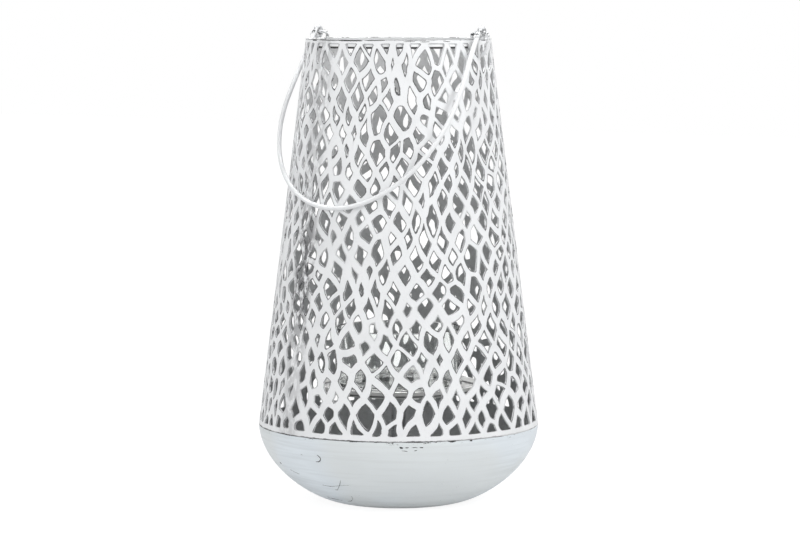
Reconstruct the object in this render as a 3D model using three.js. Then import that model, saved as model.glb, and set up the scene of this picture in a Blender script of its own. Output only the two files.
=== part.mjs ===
// A white metal candle lantern: a cut fretwork cone standing on a spun bowl,
// with a wire bail at the mouth and a glass cup on a dish inside.
// Millimetres, +Z up, origin at the middle of the foot. The bail hangs to -Y and hinges along X.
import * as THREE from 'three';

// Body
const BODY_HEIGHT = 400; // foot to the top edge of the cone
const MOUTH_RADIUS = 79.8; // outside of the cone at its top edge
const SEAM_RADIUS = 121.4; // outside of the cone where it stands on the bowl
const SEAM_HEIGHT = 66;
const SHEET = 1.2; // wall of the cone, the bowl and the dish
const BOWL_FLAT_RADIUS = 55; // where the bowl's curve meets its flat foot
const BOWL_CURVE_OUT = 1.39; // powers of the bowl's rounded side
const BOWL_CURVE_DOWN = 1.08;

// Fretwork
const OPENING_PITCH = 22.0; // from one opening to the next along a row
const STRUT = 5.0; // width of the bars left between the openings
const TOP_BAND = 2.6; // plain bands above and below the openings
const BOTTOM_BAND = 4.6;
const SPREAD_ROUND = 0.27; // how far a crossing strays from its place, as a part of the pitch
const SPREAD_UP = 0.2;

// Rim hoop and ears
const HOOP_HEIGHT = 7.5;
const HOOP_WALL = 1.5;
const EAR_WIRE = 3.0;
const EAR_RISE = 5.5; // middle of the ear's bar above the rim
const EAR_REACH = 91.5; // farthest middle of the ear's wire from the axis
const EAR_BEND = 3.2;
const EAR_FOOT_DEPTH = 14; // below the rim, where the outer leg ends on the cone
const EAR_TAIL = 6; // inner leg's length along the hoop
const EAR_BOW = 80; // degrees of the quarter ellipse in which the outer leg bows back to the cone

// Bail
const BAIL_WIRE = 4.0;
const BAIL_SPREAD = 85; // from the axis to the plane of each eye
const BAIL_BELLY = 87.5; // half the widest span of the loop
const BAIL_LEG = 70; // from the hinge to the start of the round end
const BAIL_DEPTH = 177; // from the hinge to the far end of the loop
const EYE_PLAY = 0.8; // between the eye and the ear's bar
const EYE_TURN = 268; // degrees of curl

// Cup, dish and post
const CUP_RADIUS = 55;
const CUP_HEIGHT = 53;
const CUP_WALL = 2.2;
const CUP_BASE = 4.5;
const CUP_CORNER = 4; // rounding under the base, and half of it inside
const DISH_RADIUS = 71;
const DISH_HEIGHT = 97; // top of the dish's floor above the foot
const DISH_LIP = 5;
const DISH_LIP_FLARE = 1.5;
const POST_RADIUS = 6;
const POST_FLANGE_RADIUS = 15;
const POST_FLANGE = 2;

// Foot recess and the screw that holds the post
const RECESS_RADIUS = 38;
const RECESS_SLOPE = 4;
const RECESS_DEPTH = 6;
const SCREW_RADIUS = 2.5;
const SCREW_LENGTH = 18;
const SCREW_HEAD_RADIUS = 5;
const SCREW_HEAD = 3;
const SCREW_CROWN_RADIUS = 3.5; // flat top of the domed head
const SCREW_HEAD_EDGE = 1.2; // straight side of the head
const WASHER_RADIUS = 8;
const WASHER = 1;

const GAP = 0.3; // between pieces that touch
const ROUND_FACETS = 48;
const DISH_FACETS = 36;
const CUP_FACETS = 32;
const POST_FACETS = 20;
const SCREW_FACETS = 16;
const WIRE_SIDES = 8;

const slope = (SEAM_RADIUS - MOUTH_RADIUS) / (BODY_HEIGHT - SEAM_HEIGHT);
const coneTilt = Math.atan(slope);
const coneRadius = (z) => MOUTH_RADIUS + (BODY_HEIGHT - z) * slope;
const facetSag = (radius, facets) => radius * (1 - Math.cos(Math.PI / facets));

const paint = () => new THREE.MeshStandardMaterial({ color: 0xdfe4e8, roughness: 0.55, metalness: 0.1 });
const wirePaint = () => new THREE.MeshStandardMaterial({ color: 0xd6dadd, roughness: 0.5, metalness: 0.15 });
const steel = () => new THREE.MeshStandardMaterial({ color: 0xa9adb0, roughness: 0.4, metalness: 0.9 });
const glass = () => new THREE.MeshStandardMaterial({
  color: 0xf4f8f8, roughness: 0.05, metalness: 0, transparent: true, opacity: 0.35,
});

const lantern = new THREE.Group();
const bailGroup = new THREE.Group();
lantern.add(bailGroup);

function addPiece(name, geometry, material, parent = lantern) {
  const mesh = new THREE.Mesh(geometry, material);
  mesh.name = name;
  parent.add(mesh);
  return mesh;
}

// A turned or spun piece from [radius, height] points, drawn up its outside and down its inside
function turned(points, facets = ROUND_FACETS) {
  const profile = points.map(([radius, height]) => new THREE.Vector2(radius, height));
  const closesOnAxis = points[0][0] === 0 && points.at(-1)[0] === 0;
  if (!closesOnAxis) profile.push(profile[0].clone());
  const geometry = new THREE.LatheGeometry(profile, facets);
  geometry.rotateX(Math.PI / 2);
  return geometry;
}

// Bowl

// The bowl's side in quarter-turn steps, from the seam at 0 to the flat foot at 1
function bowlSide(share, inset) {
  const turn = (share * Math.PI) / 2;
  const out = Math.max(Math.cos(turn), 0) ** BOWL_CURVE_OUT;
  const down = Math.sin(turn) ** BOWL_CURVE_DOWN;
  const radius = BOWL_FLAT_RADIUS + (SEAM_RADIUS - BOWL_FLAT_RADIUS) * out;
  return [radius - inset * Math.cos(turn), SEAM_HEIGHT * (1 - down) + inset * Math.sin(turn)];
}

function bowlGeometry() {
  const outsideSteps = 7;
  const insideSteps = 5;
  const outside = Array.from({ length: outsideSteps + 1 }, (_, i) => bowlSide(1 - i / outsideSteps, 0));
  const inside = Array.from({ length: insideSteps + 1 }, (_, i) => bowlSide(i / insideSteps, SHEET));
  const hole = SCREW_RADIUS + GAP;
  const floor = [
    [hole, RECESS_DEPTH],
    [RECESS_RADIUS, RECESS_DEPTH],
    [RECESS_RADIUS + RECESS_SLOPE, 0],
  ];
  const innerFloor = [
    [RECESS_RADIUS + RECESS_SLOPE + SHEET, SHEET],
    [RECESS_RADIUS + SHEET, RECESS_DEPTH + SHEET],
    [hole, RECESS_DEPTH + SHEET],
  ];
  return turned([...floor, ...outside, ...inside, ...innerFloor]);
}

addPiece('bowl_base', bowlGeometry(), paint());

// Fretwork cone: bars cross at jogged points, and each bar and crossing is laid out flat
// on the cone, then given the sheet's two faces and the cut walls between them

const shellBottom = SEAM_HEIGHT + GAP;

// From row to row, the doubled gaps move on by a part that never lines them up
const DOUBLED_SHIFT = 0.618;
const DOUBLED_STRAY = 0.31;
const EVEN_PASSES = 30;

// A repeatable stray between -1 and 1
function stray(a, b) {
  const wave = Math.sin(a * 127.1 + b * 311.7) * 43758.5453;
  return (wave - Math.floor(wave)) * 2 - 1;
}

// The rows in which the bars cross, from the mouth down. Each row's crossings hang in the gaps of
// the row above, and a wider row gets a second crossing in a few of them
function crossingRows() {
  const topLine = BODY_HEIGHT - TOP_BAND / 2;
  const bottomLine = shellBottom + BOTTOM_BAND / 2;
  const count = Math.round((topLine - bottomLine) / OPENING_PITCH);
  const rows = [];
  for (let j = 0; j <= count; j += 1) {
    const z = topLine - ((topLine - bottomLine) * j) / count;
    const wanted = Math.round((2 * Math.PI * coneRadius(z)) / OPENING_PITCH);
    if (j === 0) {
      const turns = Array.from({ length: wanted }, (_, i) => i / wanted);
      rows.push({ z, turns, gaps: null });
      continue;
    }
    const above = rows[j - 1].turns;
    const extra = wanted - above.length;
    const doubled = new Set();
    for (let k = 0; k < extra; k += 1) {
      const place = k + DOUBLED_SHIFT * j + DOUBLED_STRAY * stray(j, k);
      doubled.add(Math.floor((place * above.length) / extra) % above.length);
    }
    const turns = [];
    const gaps = [];
    for (let i = 0; i < above.length; i += 1) {
      const from = above[i];
      const to = i + 1 < above.length ? above[i + 1] : above[0] + 1;
      const shares = doubled.has(i) ? [1 / 3, 2 / 3] : [1 / 2];
      shares.forEach((share) => {
        turns.push(from + (to - from) * share);
        gaps.push(i);
      });
    }
    rows.push({ z, turns, gaps });
  }
  return rows;
}

function fretworkGraph() {
  const rows = crossingRows();
  const points = [];
  rows.forEach((row, j) => {
    row.first = points.length;
    row.turns.forEach((turn) => points.push({ turn, z: row.z, row: j, links: [] }));
  });
  const link = (a, b, halfWidth) => {
    points[a].links.push({ to: b, halfWidth });
    points[b].links.push({ to: a, halfWidth });
  };
  rows.forEach((row, j) => {
    if (j === 0) return;
    const above = rows[j - 1];
    row.gaps.forEach((gap, i) => {
      const twin = row.gaps.filter((g) => g === gap).length === 2;
      const isSecond = twin && row.gaps[i - 1] === gap;
      const left = above.first + gap;
      const right = above.first + ((gap + 1) % above.turns.length);
      const here = row.first + i;
      if (!twin || !isSecond) link(here, left, STRUT / 2);
      if (!twin || isSecond) link(here, right, STRUT / 2);
    });
  });

  // Even out the spacing round the cone, then let each crossing stray a little
  const nearTurn = (turn, reference) => turn - Math.round(turn - reference);
  const last = rows.length - 1;
  for (let pass = 0; pass < EVEN_PASSES; pass += 1) {
    const moved = points.map((p) => {
      if (p.row === 0) return p.turn;
      const around = p.links.map((l) => nearTurn(points[l.to].turn, p.turn));
      return (around.reduce((sum, turn) => sum + turn, 0) / around.length + p.turn) / 2;
    });
    moved.forEach((turn, i) => { points[i].turn = turn; });
  }
  // The last row stands evenly on the lower band, as near to its crossings' places as that allows
  const lowest = points.slice(rows[last].first, rows[last].first + rows[last].turns.length);
  const lag = lowest.reduce((sum, p, i) => sum + p.turn - i / lowest.length, 0) / lowest.length;
  lowest.forEach((p, i) => { p.turn = lag + i / lowest.length; });
  points.forEach((p, i) => {
    if (p.row === 0 || p.row === last) return;
    p.turn += (stray(i, 1) * SPREAD_ROUND * OPENING_PITCH) / (2 * Math.PI * coneRadius(p.z));
    p.z += stray(i, 2) * SPREAD_UP * OPENING_PITCH;
  });

  // The bands are bars too, each with a bend halfway so that it follows the curve
  [[rows[0], TOP_BAND], [rows[last], BOTTOM_BAND]].forEach(([row, width]) => {
    const count = row.turns.length;
    for (let i = 0; i < count; i += 1) {
      const a = row.first + i;
      const b = row.first + ((i + 1) % count);
      const turn = points[a].turn + nearTurn(points[b].turn - points[a].turn, 0) / 2;
      points.push({ turn, z: row.z, row: points[a].row, links: [] });
      link(a, points.length - 1, width / 2);
      link(points.length - 1, b, width / 2);
    }
  });
  return { points, topFacets: rows[0].turns.length * 2 };
}

function fretworkGeometry({ points }) {
  const positions = [];
  const indices = [];
  // One corner of the sheet: its outer vertex, and its inner one straight behind it
  const wall = SHEET / Math.cos(coneTilt);
  const addCorner = (turn, z) => {
    const angle = turn * 2 * Math.PI;
    const outer = coneRadius(z);
    [outer, outer - wall].forEach((radius) => {
      positions.push(radius * Math.cos(angle), radius * Math.sin(angle), z);
    });
    return positions.length / 3 - 2;
  };
  const addFace = (corners) => {
    for (let i = 1; i + 1 < corners.length; i += 1) {
      indices.push(corners[0], corners[i], corners[i + 1]);
      indices.push(corners[0] + 1, corners[i + 1] + 1, corners[i] + 1);
    }
  };
  const addCut = (a, b) => {
    indices.push(b, a, a + 1);
    indices.push(b, a + 1, b + 1);
  };

  points.forEach((p) => {
    const around = 2 * Math.PI * coneRadius(p.z);
    p.links.forEach((l) => {
      const other = points[l.to];
      const across = (other.turn - p.turn - Math.round(other.turn - p.turn)) * around;
      const up = (other.z - p.z) / Math.cos(coneTilt);
      l.angle = Math.atan2(up, across);
    });
    p.links.sort((a, b) => a.angle - b.angle);
    p.corners = p.links.map((l, i) => {
      const next = p.links[(i + 1) % p.links.length];
      let opening = next.angle - l.angle;
      if (opening <= 0) opening += 2 * Math.PI;
      let across;
      let up;
      if (Math.abs(Math.sin(opening)) < 0.05) {
        across = -Math.sin(l.angle) * l.halfWidth;
        up = Math.cos(l.angle) * l.halfWidth;
      } else {
        const scale = 1 / Math.sin(opening);
        across = (next.halfWidth * Math.cos(l.angle) + l.halfWidth * Math.cos(next.angle)) * scale;
        up = (next.halfWidth * Math.sin(l.angle) + l.halfWidth * Math.sin(next.angle)) * scale;
      }
      return addCorner(p.turn + across / around, p.z + up * Math.cos(coneTilt));
    });
  });

  // corners[i] lies between link i and link i + 1, to the left of link i seen from the crossing
  points.forEach((p, here) => {
    if (p.corners.length > 2) addFace(p.corners);
    p.links.forEach((l, i) => {
      if (l.to < here) return;
      const other = points[l.to];
      const k = other.links.findIndex((m) => m.to === here);
      const count = p.corners.length;
      const otherCount = other.corners.length;
      const left = p.corners[i];
      const right = p.corners[(i + count - 1) % count];
      const otherLeft = other.corners[k];
      const otherRight = other.corners[(k + otherCount - 1) % otherCount];
      addFace([right, otherLeft, otherRight, left]);
      addCut(otherRight, left);
      addCut(right, otherLeft);
    });
  });

  const geometry = new THREE.BufferGeometry();
  geometry.setAttribute('position', new THREE.Float32BufferAttribute(positions, 3));
  geometry.setIndex(indices);
  geometry.computeVertexNormals();
  return geometry;
}

const fretwork = fretworkGraph();
addPiece('fretwork_shell', fretworkGeometry(fretwork), paint());

// Rim hoop: a flat strip rolled inside the mouth

const hoopOuter = (z) => coneRadius(z) - SHEET / Math.cos(coneTilt) - GAP - facetSag(MOUTH_RADIUS, fretwork.topFacets);
const hoopInner = (z) => hoopOuter(z) - HOOP_WALL;
const hoopFoot = BODY_HEIGHT - HOOP_HEIGHT;
addPiece('rim_hoop', turned([
  [hoopOuter(hoopFoot), hoopFoot],
  [hoopOuter(BODY_HEIGHT), BODY_HEIGHT],
  [hoopInner(BODY_HEIGHT), BODY_HEIGHT],
  [hoopInner(hoopFoot), hoopFoot],
], fretwork.topFacets), wirePaint());

// Bent wire: straight and curved runs end to end, each with its own number of steps

class BentWire extends THREE.Curve {
  constructor(runs) {
    super();
    this.runs = runs;
    this.steps = runs.reduce((sum, run) => sum + run.steps, 0);
  }

  // Steps follow the runs, not the length, so that a tight bend gets its share
  getUtoTmapping(u) {
    return u;
  }

  getPoint(t, target = new THREE.Vector3()) {
    let place = Math.min(Math.max(t, 0), 1) * this.steps;
    let k = 0;
    while (k < this.runs.length - 1 && place > this.runs[k].steps) {
      place -= this.runs[k].steps;
      k += 1;
    }
    const run = this.runs[k];
    return target.copy(run.at(Math.min(place / run.steps, 1)));
  }
}

const straight = (from, to, steps = 1) => ({ steps, at: (share) => from.clone().lerp(to, share) });

// Part of an ellipse from centre + across, turning towards centre + along
function bend(centre, across, along, fromDegrees, toDegrees, steps) {
  const from = THREE.MathUtils.degToRad(fromDegrees);
  const to = THREE.MathUtils.degToRad(toDegrees);
  return {
    steps,
    at: (share) => {
      const angle = from + (to - from) * share;
      return centre.clone()
        .addScaledVector(across, Math.cos(angle))
        .addScaledVector(along, Math.sin(angle));
    },
  };
}

function wireGeometry(runs, diameter) {
  const path = new BentWire(runs);
  const section = new THREE.Shape();
  for (let i = 0; i < WIRE_SIDES; i += 1) {
    const angle = ((i + 0.5) * 2 * Math.PI) / WIRE_SIDES;
    const x = (Math.cos(angle) * diameter) / 2;
    const y = (Math.sin(angle) * diameter) / 2;
    if (i === 0) section.moveTo(x, y);
    else section.lineTo(x, y);
  }
  section.closePath();
  return new THREE.ExtrudeGeometry(section, { steps: path.steps, bevelEnabled: false, extrudePath: path });
}

// Ears: a wire staple over the rim at each side, welded inside the hoop and low on the cone

const hingeHeight = BODY_HEIGHT + EAR_RISE;

function earRuns(side) {
  const at = (x, z) => new THREE.Vector3(side * x, 0, z);
  const outward = new THREE.Vector3(side * EAR_BEND, 0, 0);
  const upward = new THREE.Vector3(0, 0, EAR_BEND);
  const clear = GAP + EAR_WIRE / 2;
  const tailHeight = BODY_HEIGHT - EAR_TAIL;
  const innerX = hoopInner(BODY_HEIGHT) - clear;
  const footZ = BODY_HEIGHT - EAR_FOOT_DEPTH;
  const footX = coneRadius(footZ) + clear / Math.cos(coneTilt);
  const crown = hingeHeight - EAR_BEND;
  const bowHeight = crown - footZ;
  const bowCentre = at(footX, crown);
  const bowOut = new THREE.Vector3(side * (EAR_REACH - footX), 0, 0);
  const bowDown = new THREE.Vector3(0, 0, -bowHeight);
  return [
    straight(at(innerX, tailHeight), at(innerX, crown)),
    bend(at(innerX + EAR_BEND, crown), outward.clone().negate(), upward, 0, 90, 4),
    straight(at(innerX + EAR_BEND, hingeHeight), at(EAR_REACH - EAR_BEND, hingeHeight)),
    bend(at(EAR_REACH - EAR_BEND, crown), upward, outward, 0, 90, 4),
    bend(bowCentre, bowOut, bowDown, 0, EAR_BOW, 6),
  ];
}

addPiece('ear_right', wireGeometry(earRuns(1), EAR_WIRE), wirePaint());
addPiece('ear_left', wireGeometry(earRuns(-1), EAR_WIRE), wirePaint());

// Bail: one wire with an eye curled at each end. It hangs forward until its far end
// meets the cone, so its angle follows from the sizes

const eyeRadius = EAR_WIRE / 2 + EYE_PLAY + BAIL_WIRE / 2;
const reachOut = BAIL_DEPTH + slope * eyeRadius;
const reachUp = eyeRadius - slope * BAIL_DEPTH;
const restDistance = MOUTH_RADIUS + slope * (BODY_HEIGHT - hingeHeight)
  + (BAIL_WIRE / 2 + GAP) / Math.cos(coneTilt);
const hangAngle = Math.asin(restDistance / Math.hypot(reachOut, reachUp)) - Math.atan2(reachUp, reachOut);

function bailRuns() {
  // In the hanging frame, x runs along the hinge, y is the loop's depth and -z its outer side
  const at = (x, depth) => new THREE.Vector3(x, depth, -eyeRadius);
  const eye = (side) => bend(
    new THREE.Vector3(side * BAIL_SPREAD, 0, 0),
    new THREE.Vector3(0, 0, -eyeRadius),
    new THREE.Vector3(0, -eyeRadius, 0),
    side > 0 ? EYE_TURN : 0,
    side > 0 ? 0 : EYE_TURN,
    10,
  );
  const leg = (side) => {
    const curve = new THREE.CubicBezierCurve3(
      at(side * BAIL_SPREAD, 0),
      at(side * BAIL_SPREAD, BAIL_LEG / 3),
      at(side * BAIL_BELLY, (BAIL_LEG * 2) / 3),
      at(side * BAIL_BELLY, BAIL_LEG),
    );
    return { steps: 4, at: (share) => curve.getPoint(side > 0 ? share : 1 - share) };
  };
  const loopWide = new THREE.Vector3(BAIL_BELLY, 0, 0);
  const loopDeep = new THREE.Vector3(0, BAIL_DEPTH - BAIL_LEG, 0);
  return [eye(1), leg(1), bend(at(0, BAIL_LEG), loopWide, loopDeep, 0, 180, 20), leg(-1), eye(-1)];
}

// The hanging frame's depth points down and forward
bailGroup.position.set(0, 0, hingeHeight);
bailGroup.rotation.x = -(Math.PI / 2 + hangAngle);
addPiece('bail', wireGeometry(bailRuns(), BAIL_WIRE), wirePaint(), bailGroup);

// Dish: a shallow pressed plate with a flared lip

const dishUnder = DISH_HEIGHT - SHEET;
addPiece('candle_dish', turned([
  [0, dishUnder],
  [DISH_RADIUS - DISH_LIP_FLARE, dishUnder],
  [DISH_RADIUS, dishUnder + SHEET + DISH_LIP],
  [DISH_RADIUS - SHEET, dishUnder + SHEET + DISH_LIP],
  [DISH_RADIUS - DISH_LIP_FLARE - SHEET, DISH_HEIGHT],
  [0, DISH_HEIGHT],
], DISH_FACETS), paint());

// Glass cup: straight sided with a thick base, loose on the dish

const cupFoot = DISH_HEIGHT + GAP;
const cupCorner = [0, 45, 90].map((degrees) => {
  const angle = THREE.MathUtils.degToRad(degrees);
  return [
    CUP_RADIUS - CUP_CORNER + CUP_CORNER * Math.sin(angle),
    cupFoot + CUP_CORNER - CUP_CORNER * Math.cos(angle),
  ];
});
addPiece('glass_cup', turned([
  [0, cupFoot],
  ...cupCorner,
  [CUP_RADIUS, cupFoot + CUP_HEIGHT],
  [CUP_RADIUS - CUP_WALL, cupFoot + CUP_HEIGHT],
  [CUP_RADIUS - CUP_WALL, cupFoot + CUP_BASE + CUP_CORNER / 2],
  [CUP_RADIUS - CUP_WALL - CUP_CORNER / 2, cupFoot + CUP_BASE],
  [0, cupFoot + CUP_BASE],
], CUP_FACETS), glass());

// Post: a turned spacer with a flange at each end, tapped for the screw below

const postFoot = RECESS_DEPTH + SHEET + GAP;
const postTop = dishUnder - GAP;
const washerTop = RECESS_DEPTH - GAP;
const headTop = washerTop - WASHER - GAP;
const tapped = SCREW_RADIUS + GAP;
addPiece('dish_post', turned([
  [tapped, postFoot],
  [POST_FLANGE_RADIUS, postFoot],
  [POST_FLANGE_RADIUS, postFoot + POST_FLANGE],
  [POST_RADIUS, postFoot + POST_FLANGE * 2],
  [POST_RADIUS, postTop - POST_FLANGE * 2],
  [POST_FLANGE_RADIUS, postTop - POST_FLANGE],
  [POST_FLANGE_RADIUS, postTop],
  [0, postTop],
  [0, headTop + SCREW_LENGTH + GAP],
  [tapped, headTop + SCREW_LENGTH + GAP],
], POST_FACETS), steel());

addPiece('post_washer', turned([
  [tapped, washerTop - WASHER],
  [WASHER_RADIUS, washerTop - WASHER],
  [WASHER_RADIUS, washerTop],
  [tapped, washerTop],
], POST_FACETS), steel());

addPiece('post_screw', turned([
  [0, headTop - SCREW_HEAD],
  [SCREW_CROWN_RADIUS, headTop - SCREW_HEAD],
  [SCREW_HEAD_RADIUS, headTop - SCREW_HEAD_EDGE],
  [SCREW_HEAD_RADIUS, headTop],
  [SCREW_RADIUS, headTop],
  [SCREW_RADIUS, headTop + SCREW_LENGTH],
  [0, headTop + SCREW_LENGTH],
], SCREW_FACETS), steel());

export default lantern;
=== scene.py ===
import bisect
import math
import random

import bpy
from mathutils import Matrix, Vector
from mathutils.geometry import delaunay_2d_cdt


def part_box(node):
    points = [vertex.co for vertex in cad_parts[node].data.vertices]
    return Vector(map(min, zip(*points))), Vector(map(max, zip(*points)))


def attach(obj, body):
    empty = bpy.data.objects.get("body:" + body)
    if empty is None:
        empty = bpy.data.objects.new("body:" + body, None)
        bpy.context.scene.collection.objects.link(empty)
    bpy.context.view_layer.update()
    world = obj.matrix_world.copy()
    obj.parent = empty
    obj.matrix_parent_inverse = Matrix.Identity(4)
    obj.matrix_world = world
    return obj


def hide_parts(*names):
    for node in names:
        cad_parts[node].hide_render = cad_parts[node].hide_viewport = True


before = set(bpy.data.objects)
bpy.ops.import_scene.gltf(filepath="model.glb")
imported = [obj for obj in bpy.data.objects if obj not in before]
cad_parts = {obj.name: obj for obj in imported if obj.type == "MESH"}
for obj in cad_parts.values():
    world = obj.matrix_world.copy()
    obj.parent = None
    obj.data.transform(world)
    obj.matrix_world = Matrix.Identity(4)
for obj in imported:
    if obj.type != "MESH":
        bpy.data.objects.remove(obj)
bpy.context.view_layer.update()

# The view
# A long lens a little above the rim, looking down at the bowl by five degrees. The lantern
# stands turned, so that its right ear comes forward and the bail hangs to the left.
TURN = math.radians(34)
EYE_DISTANCE = 2.70
EYE_HEIGHT = 0.445
LOOK_DOWN = math.radians(5.128)
SENSOR_WIDTH = 36  # millimetres
PHOTO_WIDTH = 800  # pixels
PHOTO_FOCAL = 3126  # pixels
AXIS_OFFSET = 1.5  # pixels from the photograph's middle to the lantern's axis


def round_place(degrees, radius, height):
    """A place by degrees to the right of the camera, distance from the axis and height."""
    angle = TURN + math.radians(degrees)
    return Vector((radius * math.sin(angle), -radius * math.cos(angle), height))


camera_data = bpy.data.cameras.new("camera")
camera_data.sensor_width = SENSOR_WIDTH
camera_data.lens = SENSOR_WIDTH * PHOTO_FOCAL / PHOTO_WIDTH
camera = bpy.data.objects.new("camera", camera_data)
camera.location = round_place(0, EYE_DISTANCE, EYE_HEIGHT)
yaw = TURN - math.atan(AXIS_OFFSET / PHOTO_FOCAL)
camera.rotation_euler = (math.pi / 2 - LOOK_DOWN, 0, yaw)
bpy.context.scene.collection.objects.link(camera)
bpy.context.scene.camera = camera
bpy.context.scene.view_settings.view_transform = "Standard"

# The studio
# A white floor and white surroundings under soft light from above and from both sides.
# The floor keeps the lantern's shadow, and everything round it is plain white to the eye.


def start_finish(name):
    """A new material: its node tree and its shader."""
    material = bpy.data.materials.new(name)
    material.use_nodes = True
    return material, material.node_tree, material.node_tree.nodes["Principled BSDF"]


def add_node(tree, kind, **settings):
    made = tree.nodes.new(kind)
    for key, value in settings.items():
        setattr(made, key, value)
    return made


def feed(tree, socket, value):
    """A socket takes a link, a colour or a number."""
    if isinstance(value, bpy.types.NodeSocket):
        tree.links.new(value, socket)
    elif isinstance(value, tuple) and len(value) == 3 and socket.type == "RGBA":
        socket.default_value = (*value, 1)
    else:
        socket.default_value = value


def combine(tree, operation, a, b):
    made = add_node(tree, "ShaderNodeMath", operation=operation)
    feed(tree, made.inputs[0], a)
    feed(tree, made.inputs[1], b)
    return made.outputs[0]


def times(tree, a, b):
    return combine(tree, "MULTIPLY", a, b)


def seen_directly(tree):
    """1 for the eye, for reflections and through glass, and 0 for the light that falls on things."""
    ray = add_node(tree, "ShaderNodeLightPath").outputs
    through = combine(tree, "MAXIMUM", ray["Is Camera Ray"], ray["Is Transmission Ray"])
    return combine(tree, "MAXIMUM", through, ray["Is Glossy Ray"])


def add_mesh(name, vertices, faces, material):
    mesh = bpy.data.meshes.new(name)
    mesh.from_pydata(vertices, [], faces)
    mesh.materials.append(material)
    mesh.shade_smooth()
    piece = bpy.data.objects.new(name, mesh)
    bpy.context.scene.collection.objects.link(piece)
    return piece


FLOOR_SPAN = 12
FLOOR_WHITE = (0.9, 0.9, 0.9)
FLOOR_GLOW_SHARE = 0.80  # the rest of the floor's look takes the shadow
FLOOR_GLOW = 1.13

floor_white, floor_tree, floor_shader = start_finish("floor_white")
floor_shader.inputs["Base Color"].default_value = (*FLOOR_WHITE, 1)
floor_shader.inputs["Roughness"].default_value = 0.7
glow = add_node(floor_tree, "ShaderNodeEmission")
glow.inputs["Strength"].default_value = FLOOR_GLOW
floor_mix = add_node(floor_tree, "ShaderNodeMixShader")
glow_share = times(floor_tree, seen_directly(floor_tree), FLOOR_GLOW_SHARE)
feed(floor_tree, floor_mix.inputs[0], glow_share)
feed(floor_tree, floor_mix.inputs[1], floor_shader.outputs[0])
feed(floor_tree, floor_mix.inputs[2], glow.outputs[0])
feed(floor_tree, floor_tree.nodes["Material Output"].inputs["Surface"], floor_mix.outputs[0])
reach = FLOOR_SPAN / 2
floor_corners = [(-reach, -reach, 0), (reach, -reach, 0), (reach, reach, 0), (-reach, reach, 0)]
add_mesh("floor", floor_corners, [(0, 1, 2, 3)], floor_white)

SKY_LIGHT = 0.72
LAMP_AIM = Vector((0, 0, 0.2))
world = bpy.data.worlds.new("white_surroundings")
world.use_nodes = True
bpy.context.scene.world = world
sky = world.node_tree.nodes["Background"]
sky.inputs["Color"].default_value = (1, 1, 1, 1)
sky_extra = times(world.node_tree, seen_directly(world.node_tree), 1 - SKY_LIGHT)
feed(world.node_tree, sky.inputs["Strength"], combine(world.node_tree, "ADD", sky_extra, SKY_LIGHT))


def add_softbox(name, degrees, distance, height, width, power, spread=180):
    """A square lamp that many degrees to the right of the camera, aimed at the lantern's middle."""
    place = round_place(degrees, distance, height)
    light = bpy.data.lights.new(name, "AREA")
    light.size = width
    light.energy = power
    light.spread = math.radians(spread)
    lamp = bpy.data.objects.new(name, light)
    lamp.location = place
    lamp.rotation_mode = "QUATERNION"
    lamp.rotation_quaternion = (LAMP_AIM - place).to_track_quat("-Z", "Y")
    bpy.context.scene.collection.objects.link(lamp)


add_softbox("key_softbox", degrees=50, distance=1.7, height=1.25, width=0.7, power=15)
add_softbox("fill_softbox", degrees=-48, distance=1.9, height=0.9, width=1.4, power=9)
add_softbox("mouth_light", degrees=0, distance=0.01, height=1.3, width=0.16, power=0.12, spread=8)

# The bowl
# A deep bowl spun from 1.2 mm steel sheet, with a flat foot and a shallow recess under it.
# It is brushed with a cool white on the outside, left grey inside and welded under the cone.
SHEET = 0.0012
SEAM_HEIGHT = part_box("fretwork_shell")[0].z
SEAM_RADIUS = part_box("bowl_base")[1].x
BOWL_FLAT_RADIUS = 0.055
BOWL_CURVE_OUT = 1.39
BOWL_CURVE_DOWN = 1.08
RECESS_RADIUS = 0.038
RECESS_SLOPE = 0.004
RECESS_DEPTH = 0.006
RECESS_ROUND = 0.001  # how far the recess's corners are rounded
EDGE_ROUND = 0.0005  # and the sheet's upper edge
SCREW_HOLE = 0.0028
RIDGE_DEPTH = 0.00006  # half the depth of the ridges that spinning leaves
RIDGE_RATE = 1900  # radians of ridge in a metre of height
RIDGES_FULL = 0.01  # height above which they have their full depth
BOWL_FACETS = 192
SHARP_DEGREES = 38  # edges sharper than this are shaded as edges

COOL_WHITE = (0.655, 0.705, 0.745)
COOL_WHITE_THIN = (0.56, 0.60, 0.63)
COOL_WHITE_WARMER = (0.62, 0.64, 0.63)
BARE_STEEL = (0.045, 0.046, 0.048)
# The inside's grey is the primer's own colour, darker low down as painted shade and lighter high up as
# painted light from the mouth.
PRIMER_SHADED_LOW = (0.44, 0.45, 0.455)
PRIMER_LIT_HIGH = (0.58, 0.585, 0.59)
PRIMER_SHADE_SPAN = (0.10, 0.41)  # heights between which the painted shade deep inside gives way to painted light near the mouth
CHIP_PATCH = 0.03  # size of the patches in which chips come


def place_on(tree, stretch=(1, 1, 1), turn=0):
    """The lantern's own coordinates in metres, stretched along each axis or turned round Z."""
    mapping = add_node(tree, "ShaderNodeMapping")
    mapping.inputs["Rotation"].default_value = (0, 0, turn)
    mapping.inputs["Scale"].default_value = stretch
    feed(tree, mapping.inputs["Vector"], add_node(tree, "ShaderNodeTexCoord").outputs["Object"])
    return mapping.outputs["Vector"]


def grain(tree, size, stretch=(1, 1, 1), detail=4, rough=0.55):
    """Cloudy noise whose blotches are about size metres across."""
    noise = add_node(tree, "ShaderNodeTexNoise")
    noise.inputs["Scale"].default_value = 1 / size
    noise.inputs["Detail"].default_value = detail
    noise.inputs["Roughness"].default_value = rough
    feed(tree, noise.inputs["Vector"], place_on(tree, stretch))
    return noise.outputs["Fac"]


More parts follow.
